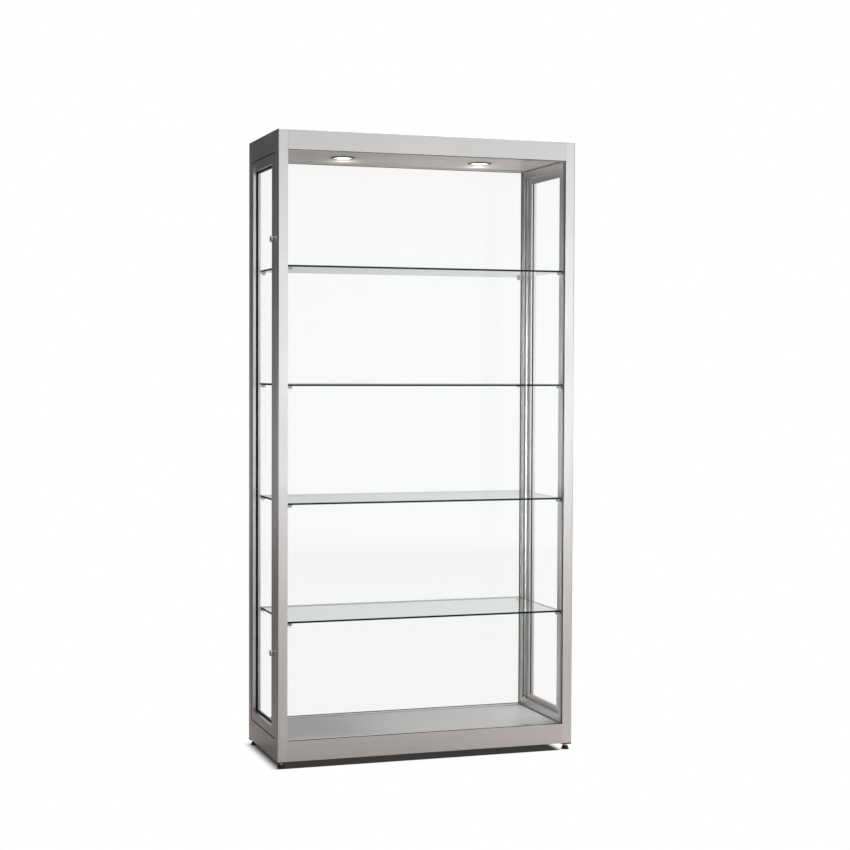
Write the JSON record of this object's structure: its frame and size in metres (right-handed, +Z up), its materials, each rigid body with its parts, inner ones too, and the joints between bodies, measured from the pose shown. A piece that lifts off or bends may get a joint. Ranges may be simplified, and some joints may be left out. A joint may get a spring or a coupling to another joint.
{
  "type": "glass display showcase",
  "caption": "Tall rectangular aluminium and glass display cabinet with framed end doors, clear shelves, ceiling downlights and levelling feet.",
  "frame": {"origin": "on the floor, under the middle of the case", "axes": "+Z up, the front pane faces -Y, the width runs along X"},
  "size_m": [1.022, 0.4, 2],
  "materials": {
    "frame_aluminium": "satin anodised extrusion",
    "door_aluminium": "satin anodised extrusion",
    "pane_glass": "clear toughened float glass",
    "shelf_glass": "clear float glass with polished edges",
    "clip_metal": "bright zinc die casting",
    "gasket_rubber": "dark matt glazing rubber",
    "chrome_trim": "polished",
    "lamp_lens": "frosted diffuser",
    "heat_sink": "black anodised",
    "driver_case": "moulded case",
    "cable_rubber": "matt",
    "foot_plastic": "moulded nylon on a zinc plated stud",
    "cap_plastic": "moulded",
    "bush_plastic": "moulded nylon",
    "bright_steel": "zinc plated",
    "joint_metal": "die cast block",
    "floor_laminate": "grey laminated board",
    "ceiling_laminate": "warm grey laminated board",
    "roof_sheet": "coated sheet"
  },
  "bodies": {
    "cabinet": {"base_rail_front": "frame_aluminium", "base_rail_left": "frame_aluminium", "base_rail_rear": "frame_aluminium", "base_rail_right": "frame_aluminium", "cable_grommet": "cable_rubber", "ceiling_panel": "ceiling_laminate", "corner_blocks": "joint_metal", "corner_bolts": "bright_steel", "downlight_bezels": "chrome_trim", "downlight_bodies": "heat_sink", "downlight_lenses": "lamp_lens", "floor_panel": "floor_laminate", "front_glass": "pane_glass", "led_driver": "driver_case", "lighting_leads": "cable_rubber", "pane_gaskets": "gasket_rubber", "pivot_bushes": "bush_plastic", "post_end_caps": "cap_plastic", "post_front_left": "frame_aluminium", "post_front_right": "frame_aluminium", "post_rear_left": "frame_aluminium", "post_rear_right": "frame_aluminium", "rear_glass": "pane_glass", "roof_panel": "roof_sheet", "top_rail_front": "frame_aluminium", "top_rail_left": "frame_aluminium", "top_rail_rear": "frame_aluminium", "top_rail_right": "frame_aluminium"},
    "left_door": {"left_door_lock_stile": "door_aluminium", "left_door_hinge_stile": "door_aluminium", "left_door_top_rail": "door_aluminium", "left_door_bottom_rail": "door_aluminium", "left_door_glass": "pane_glass", "left_door_gasket": "gasket_rubber", "left_door_pivots": "bright_steel", "left_door_lock_barrels": "chrome_trim"},
    "left_upper_lock": {"left_door_upper_lock_core": "chrome_trim"},
    "left_lower_lock": {"left_door_lower_lock_core": "chrome_trim"},
    "right_door": {"right_door_lock_stile": "door_aluminium", "right_door_hinge_stile": "door_aluminium", "right_door_top_rail": "door_aluminium", "right_door_bottom_rail": "door_aluminium", "right_door_glass": "pane_glass", "right_door_gasket": "gasket_rubber", "right_door_pivots": "bright_steel", "right_door_lock_barrels": "chrome_trim"},
    "right_upper_lock": {"right_door_upper_lock_core": "chrome_trim"},
    "right_lower_lock": {"right_door_lower_lock_core": "chrome_trim"},
    "shelf_1": {"shelf_1_glass": "shelf_glass", "shelf_1_clips": "clip_metal"},
    "shelf_2": {"shelf_2_glass": "shelf_glass", "shelf_2_clips": "clip_metal"},
    "shelf_3": {"shelf_3_glass": "shelf_glass", "shelf_3_clips": "clip_metal"},
    "shelf_4": {"shelf_4_glass": "shelf_glass", "shelf_4_clips": "clip_metal"},
    "foot_front_left": {"levelling_foot_front_left": "foot_plastic"},
    "foot_front_right": {"levelling_foot_front_right": "foot_plastic"},
    "foot_rear_left": {"levelling_foot_rear_left": "foot_plastic"},
    "foot_rear_right": {"levelling_foot_rear_right": "foot_plastic"}
  },
  "joints": [
    {"name": "left_door_hinge", "type": "hinge", "parent": "cabinet", "child": "left_door", "pos_m": [-0.49, 0.155, 1], "axis": [0, 0, -1], "range_deg": [0, 95]},
    {"name": "left_upper_lock_turn", "type": "hinge", "parent": "left_door", "child": "left_upper_lock", "pos_m": [-0.495, -0.145, 1.6625], "axis": [1, 0, 0], "range_deg": [0, 90]},
    {"name": "left_lower_lock_turn", "type": "hinge", "parent": "left_door", "child": "left_lower_lock", "pos_m": [-0.495, -0.145, 0.3597], "axis": [1, 0, 0], "range_deg": [0, 90]},
    {"name": "right_door_hinge", "type": "hinge", "parent": "cabinet", "child": "right_door", "pos_m": [0.49, 0.155, 1], "axis": [0, 0, 1], "range_deg": [0, 95]},
    {"name": "right_upper_lock_turn", "type": "hinge", "parent": "right_door", "child": "right_upper_lock", "pos_m": [0.495, -0.145, 1.6625], "axis": [1, 0, 0], "range_deg": [0, 90]},
    {"name": "right_lower_lock_turn", "type": "hinge", "parent": "right_door", "child": "right_lower_lock", "pos_m": [0.495, -0.145, 0.3597], "axis": [1, 0, 0], "range_deg": [0, 90]},
    {"name": "shelf_1_height", "type": "slide", "parent": "cabinet", "child": "shelf_1", "axis": [0, 0, 1], "range_m": [-0.12, 0.12]},
    {"name": "shelf_2_height", "type": "slide", "parent": "cabinet", "child": "shelf_2", "axis": [0, 0, 1], "range_m": [-0.12, 0.12]},
    {"name": "shelf_3_height", "type": "slide", "parent": "cabinet", "child": "shelf_3", "axis": [0, 0, 1], "range_m": [-0.12, 0.12]},
    {"name": "shelf_4_height", "type": "slide", "parent": "cabinet", "child": "shelf_4", "axis": [0, 0, 1], "range_m": [-0.12, 0.12]},
    {"name": "foot_front_left_level", "type": "slide", "parent": "cabinet", "child": "foot_front_left", "axis": [0, 0, -1], "range_m": [0, 0.015]},
    {"name": "foot_front_right_level", "type": "slide", "parent": "cabinet", "child": "foot_front_right", "axis": [0, 0, -1], "range_m": [0, 0.015]},
    {"name": "foot_rear_left_level", "type": "slide", "parent": "cabinet", "child": "foot_rear_left", "axis": [0, 0, -1], "range_m": [0, 0.015]},
    {"name": "foot_rear_right_level", "type": "slide", "parent": "cabinet", "child": "foot_rear_right", "axis": [0, 0, -1], "range_m": [0, 0.015]}
  ]
}
